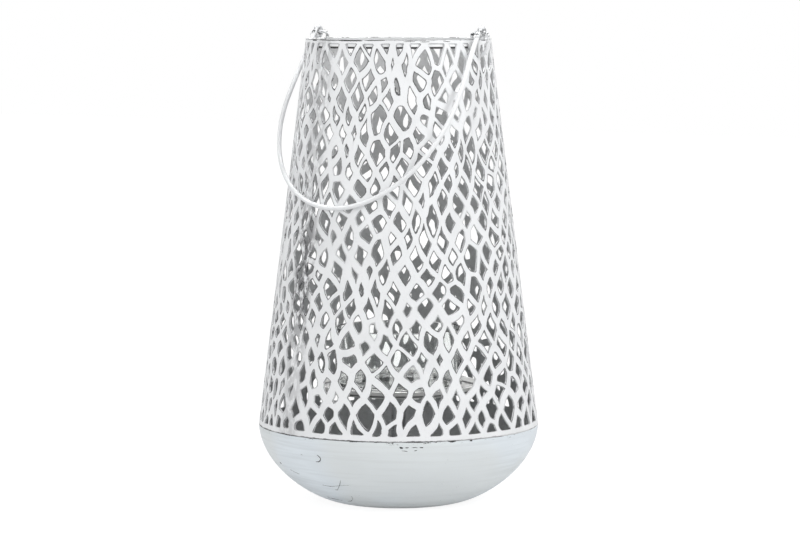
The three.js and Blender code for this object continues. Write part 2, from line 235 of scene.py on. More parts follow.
def fade(tree, value, low, high):
    """0 at low and 1 at high, smoothly between."""
    ramp = add_node(tree, "ShaderNodeMapRange", interpolation_type="SMOOTHSTEP")
    feed(tree, ramp.inputs["Value"], value)
    ramp.inputs["From Min"].default_value = low
    ramp.inputs["From Max"].default_value = high
    return ramp.outputs["Result"]


def tint(tree, amount, first, second):
    mix = add_node(tree, "ShaderNodeMix", data_type="RGBA")
    feed(tree, mix.inputs["Factor"], amount)
    feed(tree, mix.inputs[6], first)
    feed(tree, mix.inputs[7], second)
    return mix.outputs[2]


def height_on(tree):
    split = add_node(tree, "ShaderNodeSeparateXYZ")
    feed(tree, split.inputs[0], place_on(tree))
    return split.outputs["Z"]


def beside(tree, level, reach):
    """1 at a height, fading to 0 at reach above or below it."""
    away = combine(tree, "ABSOLUTE", combine(tree, "SUBTRACT", height_on(tree), level), 0)
    return fade(tree, away, reach, 0)


def finished(material, colour, roughness, height, depth):
    """Gives a material its colour and roughness, and a relief that is depth deep at height 1."""
    tree = material.node_tree
    shader = tree.nodes["Principled BSDF"]
    feed(tree, shader.inputs["Base Color"], colour)
    feed(tree, shader.inputs["Roughness"], roughness)
    bump = add_node(tree, "ShaderNodeBump")
    bump.inputs["Distance"].default_value = depth
    feed(tree, bump.inputs["Height"], height)
    feed(tree, shader.inputs["Normal"], bump.outputs["Normal"])
    return material


def chipped(tree, size, share, stretch=(1, 1, 1)):
    """Ragged bare spots, which come in patches. A larger share leaves more of them."""
    ragged = grain(tree, size, stretch, detail=6, rough=0.7)
    spots = fade(tree, ragged, 0.70 - share, 0.715 - share)
    return times(tree, spots, fade(tree, grain(tree, CHIP_PATCH), 0.50, 0.58))


def brushed_bowl_paint():
    material, tree, _ = start_finish("brushed_cool_white")
    strokes = grain(tree, 0.034, (0.5, 0.5, 13), detail=5)
    broad = grain(tree, 0.06, (1, 1, 2.2), detail=2)
    streaked = times(tree, fade(tree, strokes, 0.40, 0.68), 0.6)
    clouded = times(tree, fade(tree, broad, 0.40, 0.65), 0.35)
    colour = tint(tree, combine(tree, "MAXIMUM", streaked, clouded), COOL_WHITE, COOL_WHITE_THIN)
    warmer = times(tree, fade(tree, grain(tree, 0.09, detail=1), 0.45, 0.62), 0.55)
    colour = tint(tree, warmer, colour, COOL_WHITE_WARMER)
    pits = chipped(tree, 0.0022, 0.02)
    worn = times(tree, chipped(tree, 0.005, 0.13, (1, 1, 3)), beside(tree, SEAM_HEIGHT, 0.0035))
    bare = combine(tree, "MAXIMUM", pits, worn)
    colour = tint(tree, bare, colour, BARE_STEEL)
    ridges = combine(tree, "SUBTRACT", times(tree, strokes, 0.7), bare)
    return finished(material, colour, fade(tree, strokes, -0.9, 1.9), ridges, 0.00025)


def grey_inside():
    """Thin grey overspray on bare steel, darker deeper inside as painted shade and lighter towards the
    mouth as painted light.
    """
    material, tree, _ = start_finish("grey_inside")
    primer_with_painted_shade = tint(tree, fade(tree, height_on(tree), *PRIMER_SHADE_SPAN), PRIMER_SHADED_LOW, PRIMER_LIT_HIGH)
    dust = times(tree, fade(tree, grain(tree, 0.0035, detail=6), 0.42, 0.72), 0.16)
    cloud = times(tree, fade(tree, grain(tree, 0.05), 0.35, 0.7), 0.10)
    colour = tint(tree, combine(tree, "ADD", dust, cloud), primer_with_painted_shade, BARE_STEEL)
    roughness = fade(tree, grain(tree, 0.01), -1.4, 1.6)
    return finished(material, colour, roughness, grain(tree, 0.0018), 0.0001)


def mark_sharp(piece):
    piece.data.set_sharp_from_angle(angle=math.radians(SHARP_DEGREES))


def turned(name, profile, facets, material):
    """A turned or spun piece from (radius, height) points, up its outside and down its inside."""
    vertices = []
    rings = []
    for radius, height in profile:
        if radius == 0:
            rings.append([len(vertices)] * facets)
            vertices.append((0, 0, height))
            continue
        rings.append([len(vertices) + k for k in range(facets)])
        for k in range(facets):
            angle = 2 * math.pi * k / facets
            vertices.append((radius * math.cos(angle), radius * math.sin(angle), height))
    if profile[0][0] != 0:
        rings.append(rings[0])
    faces = []
    for low, high in zip(rings, rings[1:]):
        for k in range(facets):
            following = (k + 1) % facets
            corners = [low[k], low[following], high[following], high[k]]
            face = tuple(dict.fromkeys(corners))
            if len(face) > 2:
                faces.append(face)
    piece = add_mesh(name, vertices, faces, material)
    mark_sharp(piece)
    return piece


def bowl_side(share, inset=0.0):
    """The rounded side, from the seam at 0 to the flat foot at 1."""
    turn = share * math.pi / 2
    out = max(math.cos(turn), 0) ** BOWL_CURVE_OUT
    radius = BOWL_FLAT_RADIUS + (SEAM_RADIUS - BOWL_FLAT_RADIUS) * out
    height = SEAM_HEIGHT * (1 - math.sin(turn) ** BOWL_CURVE_DOWN)
    return radius - inset * math.cos(turn), height + inset * math.sin(turn)


def surface_stray(radius, height):
    """The spinning tool's faint ridges, which only ever take material away."""
    return radius - RIDGE_DEPTH * (1 + math.sin(height * RIDGE_RATE)) * min(1, height / RIDGES_FULL)


side_steps = 56
outside = [bowl_side(1 - k / side_steps) for k in range(side_steps)]
outside = [(surface_stray(r, z), z) for r, z in outside]
rolled_edge = [
    (SEAM_RADIUS - 0.2 * EDGE_ROUND, SEAM_HEIGHT - EDGE_ROUND),
    (SEAM_RADIUS - 0.6 * EDGE_ROUND, SEAM_HEIGHT - 0.2 * EDGE_ROUND),
]
inside = [bowl_side(k / side_steps, SHEET) for k in range(side_steps)]
recess_lip = RECESS_RADIUS + RECESS_SLOPE
bowl_profile = [
    (SCREW_HOLE, RECESS_DEPTH),
    (RECESS_RADIUS - RECESS_ROUND, RECESS_DEPTH),
    (RECESS_RADIUS + 0.6 * RECESS_ROUND, RECESS_DEPTH - 0.7 * RECESS_ROUND),
    (recess_lip - 0.6 * RECESS_ROUND, 0.7 * RECESS_ROUND),
    (recess_lip + 0.8 * RECESS_ROUND, 0),
    *outside[:-1],
    *rolled_edge,
    *inside,
    (recess_lip + SHEET, SHEET),
    (RECESS_RADIUS + SHEET, RECESS_DEPTH + SHEET),
    (SCREW_HOLE, RECESS_DEPTH + SHEET),
]
bowl_paint = brushed_bowl_paint()
inside_grey = grey_inside()
bowl = turned("spun_bowl", bowl_profile, BOWL_FACETS, bowl_paint)
bowl.data.materials.append(inside_grey)
first_inside = bowl_profile.index(inside[0])
for face in bowl.data.polygons:
    if min(face.vertices) >= first_inside * BOWL_FACETS:
        face.material_index = 1
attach(bowl, "lantern_body")
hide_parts("bowl_base")

# Chips and hair cracks in the paint
# Where the paint has split or been knocked off, dark steel shows. They lie along the seam and
# in a few places low on the bowl, each a thin flake-shaped gap in the coat.
CRACK_LIFT = 0.00005
FLAKE_STEP = 0.0005
FLAKE_RAGGED = 0.45  # how far a flake's width strays, as a part of it
STEEL_DARK = (0.018, 0.018, 0.019)
STEEL_RUSTED = (0.06, 0.058, 0.055)


def bowl_place(degrees, height):
    """A place on the bowl's outside, by degrees to the right of the camera and height."""
    radius = SEAM_RADIUS
    if height < SEAM_HEIGHT:
        turn = math.asin((1 - height / SEAM_HEIGHT) ** (1 / BOWL_CURVE_DOWN))
        radius = bowl_side(turn / (math.pi / 2))[0] + CRACK_LIFT
    return round_place(degrees, radius, height)


flake_shake = random.Random(5)


def flake(places, width, vertices, faces):
    """A ragged ribbon through some places on the surface, narrow at both ends."""
    fine = []
    for a, b in zip(places, places[1:]):
        steps = max(2, round((b - a).length / FLAKE_STEP))
        fine += [a.lerp(b, k / steps) for k in range(steps)]
    fine.append(places[-1])
    start = len(vertices)
    for k, place in enumerate(fine):
        ahead = fine[min(k + 1, len(fine) - 1)] - fine[max(k - 1, 0)]
        outward = Vector((place.x, place.y, 0)).normalized()
        across = outward.cross(ahead).normalized()
        swell = math.sin(math.pi * (k + 0.4) / len(fine)) ** 0.5
        for side in (-1, 1):
            half = width / 2 * swell * flake_shake.uniform(1 - FLAKE_RAGGED, 1 + FLAKE_RAGGED)
            vertices.append(place + across * side * half)
    for k in range(len(fine) - 1):
        a = start + 2 * k
        faces.append((a, a + 2, a + 3, a + 1))


# Each crack or chip runs through places given by degrees to the right of the camera and by
# height in millimetres, and has its greatest width in millimetres.
bowl_cracks = [
    ([(-35.2, 52.4), (-34.0, 50.5), (-33.9, 48.4), (-35.2, 46.4), (-36.9, 46.0)], 0.9),
    ([(-27.4, 30.5), (-29.0, 26.5), (-31.0, 22.8), (-33.2, 19.6), (-34.2, 20.4)], 0.7),
    ([(-41.1, 23.4), (-36.0, 23.0), (-30.0, 24.6), (-24.0, 26.1)], 0.45),
    ([(-27.0, 14.6), (-27.6, 11.6), (-30.6, 8.6), (-35.0, 6.9)], 0.6),
    ([(-50.2, 9.2), (-44.0, 8.2), (-38.0, 7.6)], 0.5),
    ([(-65.2, 38.6), (-64.4, 37.2)], 0.8),
    ([(-58.5, 33.8), (-54.3, 31.6), (-52.5, 31.0)], 0.4),
    ([(-44.0, 51.2), (-43.4, 50.6)], 0.5),
]
seam_chips = [
    ([(-19.8, 66.0), (-16.6, 66.5), (-13.4, 66.4)], 0.8),
    ([(-9.6, 66.3), (-7.4, 66.6)], 0.6),
    ([(2.2, 66.5), (7.6, 66.2), (13.4, 66.4)], 0.35),
    ([(19.6, 66.9), (21.2, 65.9), (23.4, 66.2)], 1.2),
    ([(29.4, 65.9), (30.6, 65.6)], 1.0),
    ([(0.4, 62.3), (1.8, 61.7)], 1.5),
    ([(2.6, 61.9), (4.0, 62.1)], 0.7),
    ([(5.2, 61.9), (6.8, 62.2), (7.6, 61.8)], 0.5),
    ([(8.4, 62.0), (9.8, 61.8)], 0.8),
    ([(1.2, 59.4), (3.6, 58.8)], 0.4),
    ([(6.2, 59.2), (7.4, 59.6)], 0.6),
    ([(-52.0, 66.3), (-47.0, 66.5)], 0.5),
    ([(41.0, 66.4), (47.0, 66.2)], 0.4),
    ([(96.0, 66.4), (103.0, 66.1)], 0.7),
    ([(131.0, 66.0), (134.0, 66.5)], 1.0),
    ([(168.0, 66.3), (176.0, 66.0)], 0.6),
    ([(214.0, 66.4), (221.0, 66.4)], 0.8),
    ([(248.0, 66.0), (251.0, 66.5)], 1.1),
]


def bare_steel():
    material, tree, _ = start_finish("bare_steel")
    rust = fade(tree, grain(tree, 0.002, detail=5), 0.45, 0.7)
    roughness = fade(tree, grain(tree, 0.001), -1.2, 1.8)
    colour = tint(tree, rust, STEEL_DARK, STEEL_RUSTED)
    return finished(material, colour, roughness, grain(tree, 0.0008), 0.0001)


raw_steel = bare_steel()


def add_flakes(name, marks):
    """Flakes of bare steel, each from its places on the surface and its width in millimetres."""
    vertices = []
    faces = []
    for places, width_mm in marks:
        flake(places, width_mm / 1000, vertices, faces)
    return add_mesh(name, vertices, faces, raw_steel)


bowl_marks = []
for route, width_mm in bowl_cracks + seam_chips:
    places = [bowl_place(degrees, height_mm / 1000) for degrees, height_mm in route]
    bowl_marks.append((places, width_mm))
chips = add_flakes("paint_chips", bowl_marks)
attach(chips, "lantern_body")

# The fretwork cone
# One sheet of steel, cut through with over nine hundred leaf-shaped openings, rolled to a
# cone and welded up its side. White is sprayed on it and on the cut edges, not on the inside.
CONE_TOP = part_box("fretwork_shell")[1].z
CONE_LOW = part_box("fretwork_shell")[0].z
MOUTH_RADIUS = 0.0798
OPENING_PITCH = 0.0153
ROW_PITCH = 0.0148
LEAF_LENGTH = 1.85  # how much longer than wide the openings are
STRAY_ROUND = 0.24  # how far an opening strays from its place, as a part of the pitch
STRAY_UP = 0.20
DRIFT_ROUND = 0.013
DRIFT_UP = 0.010
PATTERN_WAVES = ((7, 60, 0.4), (11, -85, 2.1), (5, -40, 4.4))  # cycles round, radians a metre, phase
TOP_BAND = 0.0026
LOWER_BAND = 0.0043
BAR_HALF = (0.0016, 0.0031)  # half the width of the bars, from the thinnest to the widest
EDGE_BAR = 0.0002  # half the width of what is left between an opening and a plain band
LOW_BARS_WIDER = 0.20  # how much wider the bars grow from the mouth to the seam
SMALLER_OPENING = 0.0014  # how much further a small opening stays from its cell's edge
SHORT_BAR = 0.0060  # bars shorter than this close up to one crossing
BAR_BOW = 0.06  # how far a bar bends out of line, as a part of its length
FACE_LENGTH = 0.0020
SMALLEST_OPENING = 0.0026
SHARP_TIP = 0.0006
BLUNT_TIP = 0.0019
TIP_SPREAD = (0.6, 1.7)
SHARP_ANGLE = 0.6  # in radians: corners up to this get a sharp tip
BLUNT_ANGLE = 2.5  # and from this a blunt one
CORNER_REACH = 0.48  # the most of a side that one corner takes up
CROSSING_GRID = 400000  # crossings nearer than one part in this count as one
SAME_LINE = 0.00001
WELL_INSIDE = 0.003  # how far from an opening the middle of a crossing counts as

cone_slope = (SEAM_RADIUS - MOUTH_RADIUS) / (CONE_TOP - CONE_LOW)
cone_slant = math.hypot(1, cone_slope)
shake = random.Random(21)


def cone_radius(z):
    return MOUTH_RADIUS + (CONE_TOP - z) * cone_slope


def opening_rows(top_line, lower_line):
    """The middles of the openings row by row, as a height and a list of turns."""
    count = round((top_line - lower_line) / ROW_PITCH)
    edge_gap = 0.25
    rows = []
    for j in range(count + 1):
        z = top_line - (top_line - lower_line) * (j + edge_gap) / (count + 2 * edge_gap)
        wanted = round(2 * math.pi * cone_radius(z) / OPENING_PITCH)
        if not rows:
            rows.append((z, [i / wanted for i in range(wanted)]))
            continue
        above = rows[-1][1]
        extra = wanted - len(above)
        first = shake.random()
        doubled = {int((k + first) * len(above) / extra) % len(above) for k in range(extra)}
        turns = []
        for i, start in enumerate(above):
            end = above[i + 1] if i + 1 < len(above) else above[0] + 1
            shares = (1 / 3, 2 / 3) if i in doubled else (1 / 2,)
            turns += [start + (end - start) * share for share in shares]
        rows.append((z, turns))
    return rows


def gap_middle(turns, turn):
    """The middle of the gap between a row's openings in which a turn falls."""
    k = bisect.bisect(turns, turns[0] + (turn - turns[0]) % 1)
    start = turns[k - 1]
    end = turns[k] if k < len(turns) else turns[0] + 1
    middle = (start + end) / 2
    return middle - round(middle - turn)


def settle(rows):
    """Lets each row find its place between its neighbours, in the gaps of the rows beside it."""
    passes = 60
    along, beside_rows = 0.25, 0.22
    for _ in range(passes):
        for j, (_, turns) in enumerate(rows):
            before = [turns[-1] - 1] + turns[:-1]
            after = turns[1:] + [turns[0] + 1]
            moved = []
            for previous, turn, following in zip(before, turns, after):
                shift = along * ((previous + following) / 2 - turn)
                for k in (j - 1, j + 1):
                    if 0 <= k < len(rows):
                        shift += beside_rows * (gap_middle(rows[k][1], turn) - turn)
                moved.append(turn + shift)
            turns[:] = sorted(moved)
    return rows


def strayed(rows, top_line, lower_line):
    sites = []
    keep_off = 0.0015
    for z, turns in rows:
        for turn in turns:
            aside = shake.uniform(-STRAY_ROUND, STRAY_ROUND) * OPENING_PITCH
            up = shake.uniform(-STRAY_UP, STRAY_UP) * OPENING_PITCH
            height = min(max(z + up, lower_line + keep_off), top_line - keep_off)
            sites.append(((turn + aside / (2 * math.pi * cone_radius(z))) % 1, height))
    return sites


def round_middle(a, b, c):
    """The middle of the circle through three points."""
    d = 2 * (a[0] * (b[1] - c[1]) + b[0] * (c[1] - a[1]) + c[0] * (a[1] - b[1]))
    aa, bb, cc = (p[0] ** 2 + p[1] ** 2 for p in (a, b, c))
    x = (aa * (b[1] - c[1]) + bb * (c[1] - a[1]) + cc * (a[1] - b[1])) / d
    y = (aa * (c[0] - b[0]) + bb * (a[0] - c[0]) + cc * (b[0] - a[0])) / d
    return x, y


def drifted(turn, z, top_line, lower_line):
    """The hand-cut pattern wanders: slow waves lean the openings and draw them out or together."""
    turn_waves = 0
    rise = 0
    for cycles, climb, phase in PATTERN_WAVES:
        angle = 2 * math.pi * cycles * turn + z * climb + phase
        turn_waves += math.sin(angle) / cycles
        rise += math.cos(angle + phase) / cycles
    from_line = min(top_line - z, z - lower_line)
    hold = min(max(from_line / OPENING_PITCH, 0), 1)
    shift = turn_waves * DRIFT_ROUND / (2 * math.pi * cone_radius(z))
    return (turn + shift) % 1, z + rise * DRIFT_UP * hold


def leaf_cells(top_line, lower_line):
    """Each opening's cell as a loop of crossings, and the place of each crossing as (turn, z)."""
    around = 2 * math.pi * (MOUTH_RADIUS + SEAM_RADIUS) / 2
    sites = strayed(settle(opening_rows(top_line, lower_line)), top_line, lower_line)
    near_line = 2.5 * OPENING_PITCH
    overlap = 0.12
    every = list(sites)
    every += [(t, 2 * top_line - z) for t, z in sites if top_line - z < near_line]
    every += [(t, 2 * lower_line - z) for t, z in sites if z - lower_line < near_line]
    flat = []
    owner = []
    for lap in (0, -1, 1):
        for k, (turn, z) in enumerate(every):
            if -overlap < turn + lap < 1 + overlap:
                flat.append(Vector(((turn + lap) * around, z / LEAF_LENGTH)))
                owner.append(k if lap == 0 else -1)
    points, _, triangles, origins, _, _ = delaunay_2d_cdt(flat, [], [], 0, 1e-9)
    crossings = {}
    touching = {}
    for triangle in triangles:
        owners = [owner[o] for v in triangle for o in origins[v]]
        if not any(0 <= k < len(sites) for k in owners):
            continue
        x, y = round_middle(*(points[v] for v in triangle))
        y = min(max(y, lower_line / LEAF_LENGTH), top_line / LEAF_LENGTH)
        key = (round((x / around % 1) * CROSSING_GRID) % CROSSING_GRID, round(y * CROSSING_GRID))
        if key not in crossings:
            crossings[key] = drifted(x / around % 1, y * LEAF_LENGTH, top_line, lower_line)
        for k in owners:
            if 0 <= k < len(sites):
                touching.setdefault(k, []).append((x, y, key))
    loops = []
    for k in range(len(sites)):
        here = flat[k]
        ring = sorted(touching[k], key=lambda t: math.atan2(t[1] - here.y, t[0] - here.x))
        loops.append([key for _, _, key in ring])
    return loops, crossings


def turn_between(a, b):
    return (b[0] - a[0] + 0.5) % 1 - 0.5


def apart(a, b):
    """The distance between two places on the cone, laid flat."""
    across = turn_between(a, b) * 2 * math.pi * cone_radius((a[1] + b[1]) / 2)
    return math.hypot(across, (b[1] - a[1]) * cone_slant)


def on_line(place, lines):
    return next((line for line in lines if abs(place[1] - line) < SAME_LINE), None)


def close_short_bars(loops, crossings, lines):
    """Draws the ends of each short bar together to one crossing, the shortest bars first."""
    stands_for = {key: key for key in crossings}

    def root(key):
        while stands_for[key] != key:
            key = stands_for[key]
        return key

    bars = {tuple(sorted(pair)) for loop in loops for pair in zip(loop, loop[1:] + loop[:1])}
    for a, b in sorted(bars, key=lambda bar: (apart(crossings[bar[0]], crossings[bar[1]]), bar)):
        a, b = root(a), root(b)
        if a == b or apart(crossings[a], crossings[b]) > SHORT_BAR:
            continue
        turn = turn_between(crossings[a], crossings[b])
        line = on_line(crossings[a], lines) or on_line(crossings[b], lines)
        z = line or (crossings[a][1] + crossings[b][1]) / 2
        crossings[a] = ((crossings[a][0] + turn / 2) % 1, z)
        stands_for[b] = a
    tidy = []
    for loop in loops:
        rooted = [root(key) for key in loop]
        tidy.append([key for i, key in enumerate(rooted) if key != rooted[i - 1]])
    return tidy


def shrunk(outline, insets):
    """A convex outline with each side moved in by its own inset, or nothing if it closes up."""
    cut = list(outline)
    for i, (ax, ay) in enumerate(outline):
        bx, by = outline[(i + 1) % len(outline)]
        length = math.hypot(bx - ax, by - ay)
        nx, ny = -(by - ay) / length, (bx - ax) / length
        side = [(x - ax) * nx + (y - ay) * ny - insets[i] for x, y in cut]
        kept = []
        for k, point in enumerate(cut):
            following = (k + 1) % len(cut)
            if side[k] >= 0:
                kept.append(point)
            if side[k] * side[following] < 0:
                share = side[k] / (side[k] - side[following])
                kept.append(tuple(p + (q - p) * share for p, q in zip(point, cut[following])))
        cut = kept
        if len(cut) < 3:
            return []
    return cut


def with_round_corners(outline):
    """The outline with soft corners: a small radius at a sharp tip and a large one at a blunt one."""
    rounded = []
    corners = [Vector(p) for p in outline]
    corners = [p for i, p in enumerate(corners) if (p - corners[i - 1]).length > 1e-6]
    for i, here in enumerate(corners):
        back = corners[i - 1] - here
        forth = corners[(i + 1) % len(corners)] - here
        blunt = min(max((back.angle(forth) - SHARP_ANGLE) / (BLUNT_ANGLE - SHARP_ANGLE), 0), 1)
        soft = (SHARP_TIP + (BLUNT_TIP - SHARP_TIP) * blunt) * shake.uniform(*TIP_SPREAD)
        start = here + back.normalized() * min(soft, back.length * CORNER_REACH)
        end = here + forth.normalized() * min(soft, forth.length * CORNER_REACH)
        for share in (0, 0.2, 0.4, 0.6, 0.8, 1):
            rounded.append(start.lerp(here, share).lerp(here.lerp(end, share), share))
    return rounded


def ray_meets(outline, middle, towards):
    """Where the ray from the middle through a point crosses the outline."""
    best = 0
    dx, dy = towards[0] - middle[0], towards[1] - middle[1]
    for i, a in enumerate(outline):
        b = outline[(i + 1) % len(outline)]
        ex, ey = b[0] - a[0], b[1] - a[1]
        across = dx * ey - dy * ex
        if abs(across) < 1e-15:
            continue
        share = ((a[0] - middle[0]) * dy - (a[1] - middle[1]) * dx) / across
        far = ((a[0] - middle[0]) * ey - (a[1] - middle[1]) * ex) / across
        if -1e-6 <= share <= 1 + 1e-6:
            best = max(best, far)
    return middle[0] + dx * best, middle[1] + dy * best


class Fretwork:
    """The cone's mesh: between each cell's edge and its opening lies a ring of faces."""

    def __init__(self):
        self.lines = (CONE_TOP - TOP_BAND, CONE_LOW + LOWER_BAND)
        loops, self.crossings = leaf_cells(*self.lines)
        self.loops = close_short_bars(loops, self.crossings, self.lines)
        self.vertices = []
        self.outer_faces = []
        self.from_opening = []
        self.corner_index = {}
        self.bars = {}
        self.bar_half = {}
        self.runs = {line: [] for line in self.lines}
        for loop in self.loops:
            if len(loop) > 2:
                self.add_cell(loop)
        self.add_band(self.lines[0], CONE_TOP)
        self.add_band(self.lines[1], CONE_LOW)

    def add_vertex(self, turn, z, from_opening=WELL_INSIDE):
        angle = 2 * math.pi * turn
        radius = cone_radius(z)
        self.vertices.append((radius * math.cos(angle), radius * math.sin(angle), z))
        self.from_opening.append(from_opening)
        return len(self.vertices) - 1

    def corner(self, key):
        if key not in self.corner_index:
            self.corner_index[key] = self.add_vertex(*self.crossings[key])
        return self.corner_index[key]

    def half_width(self, a, b):
        pair = tuple(sorted((a, b)))
        if pair not in self.bar_half:
            line_a, line_b = (on_line(self.crossings[key], self.lines) for key in (a, b))
            plain = line_a is not None and line_a == line_b
            depth = (CONE_TOP - self.crossings[a][1]) / (CONE_TOP - CONE_LOW)
            width = shake.uniform(*BAR_HALF) * (1 + LOW_BARS_WIDER * depth)
            self.bar_half[pair] = EDGE_BAR if plain else width
        return self.bar_half[pair]

    def along(self, a, b):
        """The places from crossing a up to, but without, crossing b: index, place, bow."""
        if (a, b) not in self.bars:
            here, there = self.crossings[a], self.crossings[b]
            turn = turn_between(here, there)
            length = apart(here, there)
            line = on_line(here, self.lines)
            level = line is not None and line == on_line(there, self.lines)
            bow = 0 if level else shake.uniform(-BAR_BOW, BAR_BOW) * length
            around = 2 * math.pi * cone_radius((here[1] + there[1]) / 2)
            side = (-(there[1] - here[1]) * cone_slant / length, turn * around / length)
            steps = max(2, round(length / FACE_LENGTH))
            between = []
            for k in range(1, steps):
                share = 0.5 - 0.5 * math.cos(math.pi * k / steps)
                lift = bow * 4 * share * (1 - share)
                shift = (side[0] * lift / around, side[1] * lift / cone_slant)
                place = (here[0] + turn * share, here[1] + (there[1] - here[1]) * share)
                index = self.add_vertex(place[0] + shift[0], place[1] + shift[1])
                between.append((index, place, shift))
            first = (self.corner(a), here, (0, 0))
            final = (self.corner(b), there, (0, 0))
            self.bars[a, b] = [first] + between
            self.bars[b, a] = [final] + between[::-1]
            if level:
                self.runs[line].append([first[0]] + [index for index, _, _ in between] + [final[0]])
        return self.bars[a, b]

    def add_cell(self, loop):
        home = self.crossings[loop[0]]
        scale = 2 * math.pi * cone_radius(home[1])

        def flat(place):
            return turn_between(home, place) * scale, (place[1] - home[1]) * cone_slant

        corners = [flat(self.crossings[key]) for key in loop]
        area = sum(a[0] * b[1] - b[0] * a[1] for a, b in zip(corners, corners[1:] + corners[:1]))
        if area < 0:
            loop = loop[::-1]
            corners.reverse()
        sides = list(zip(loop, loop[1:] + loop[:1]))
        rim = [point for a, b in sides for point in self.along(a, b)]
        tight = SMALLER_OPENING * shake.random() ** 3
        opening = shrunk(corners, [self.half_width(a, b) + tight for a, b in sides])
        for a, b in sides:
            half = self.half_width(a, b)
            if half > EDGE_BAR:
                for index, _, _ in self.along(a, b)[1:]:
                    self.from_opening[index] = half
        middle = [sum(p[i] for p in opening or corners) / len(opening or corners) for i in (0, 1)]
        count = len(rim)
        if not opening or max(math.dist(p, middle) for p in opening) < SMALLEST_OPENING:
            centre = self.add_vertex(home[0] + middle[0] / scale, home[1] + middle[1] / cone_slant)
            for i in range(count):
                self.outer_faces.append((rim[i][0], rim[(i + 1) % count][0], centre))
            return
        soft = with_round_corners(opening)
        cut = []
        for _, place, shift in rim:
            x, y = ray_meets(soft, middle, flat(place))
            turn = home[0] + x / scale + shift[0]
            cut.append(self.add_vertex(turn, home[1] + y / cone_slant + shift[1], from_opening=0))
        for i in range(count):
            following = (i + 1) % count
            self.outer_faces.append((rim[i][0], rim[following][0], cut[following], cut[i]))

    def add_band(self, line, edge_z):
        twins = {}
        for run in self.runs[line]:
            for index in run:
                if index not in twins:
                    x, y, _ = self.vertices[index]
                    turn = math.atan2(y, x) / (2 * math.pi)
                    twins[index] = self.add_vertex(turn, edge_z, from_opening=0)
            for a, b in zip(run, run[1:]):
                self.outer_faces.append((a, b, twins[b], twins[a]))

    def faces_out(self, face):
        a, b, c = (Vector(self.vertices[i]) for i in face[:3])
        return (b - a).cross(c - a).dot(Vector((a.x, a.y, 0))) > 0

    def build(self, name, materials):
        """The sheet's outside, its inside and the cut walls between them."""
        count = len(self.vertices)
        wall = SHEET * cone_slant
        vertices = list(self.vertices)
        for x, y, z in self.vertices:
            shrink = 1 - wall / math.hypot(x, y)
            vertices.append((x * shrink, y * shrink, z))
        outer = [face if self.faces_out(face) else face[::-1] for face in self.outer_faces]
        inner = [tuple(i + count for i in face[::-1]) for face in outer]
        used = {(face[i - 1], face[i]) for face in outer for i in range(len(face))}
        walls = []
        for a, b in used:
            if (b, a) not in used:
                walls.append((b, a, a + count, b + count))
        walls.sort()
        piece = add_mesh(name, vertices, outer + inner + walls, materials[0])
        for material in materials[1:]:
            piece.data.materials.append(material)
        slots = [0] * len(outer) + [1] * len(inner) + [2] * len(walls)
        piece.data.polygons.foreach_set("material_index", slots)
        distance = piece.data.attributes.new("from_opening", "FLOAT", "POINT")
        distance.data.foreach_set("value", self.from_opening * 2)
        mark_sharp(piece)
        return piece


SPRAYED_WHITE = (0.71, 0.72, 0.73)
SPRAYED_THIN = (0.62, 0.63, 0.64)
CUT_GREY = (0.10, 0.103, 0.106)
CUT_SPRAYED = (0.68, 0.69, 0.70)
WELD_DEGREES = -51  # the joint up the cone's side, by degrees to the right of the camera
WELD_SCORCH = (0.085, 0.085, 0.09)
WELD_WORST = 0.202  # the height where the weld has scorched the paint most
EDGE_RAGGED = 0.0016  # how far the paint's edge round an opening wanders
EDGE_THIN = (0.0024, 0.0013)  # distances from an opening between which the paint grows thin
EDGE_DARK_OUTLINE = (0.00149, 0.00127)  # and between which a dark outline closes round it, before it wanders


def along_weld(tree, reach):
    """1 along the joint where the sheet's two ends are welded, fading to 0 at reach beside it."""
    split = add_node(tree, "ShaderNodeSeparateXYZ")
    weld_turn = TURN + math.radians(WELD_DEGREES)
    feed(tree, split.inputs[0], place_on(tree, turn=math.pi / 2 - weld_turn))
    beside_it = fade(tree, combine(tree, "ABSOLUTE", split.outputs["Y"], 0), reach, reach * 0.3)
    return times(tree, beside_it, fade(tree, split.outputs["X"], 0, 0.01))


def scorched(tree):
    """Burnt and spattered paint along the weld, worst at one height."""
    worst = beside(tree, WELD_WORST, 0.085)
    dark_marks = fade(tree, grain(tree, 0.005, (1, 1, 0.5), detail=6, rough=0.7), 0.40, 0.54)
    strength = combine(tree, "ADD", times(tree, worst, 0.70), 0.30)
    return times(tree, times(tree, along_weld(tree, 0.017), dark_marks), strength)


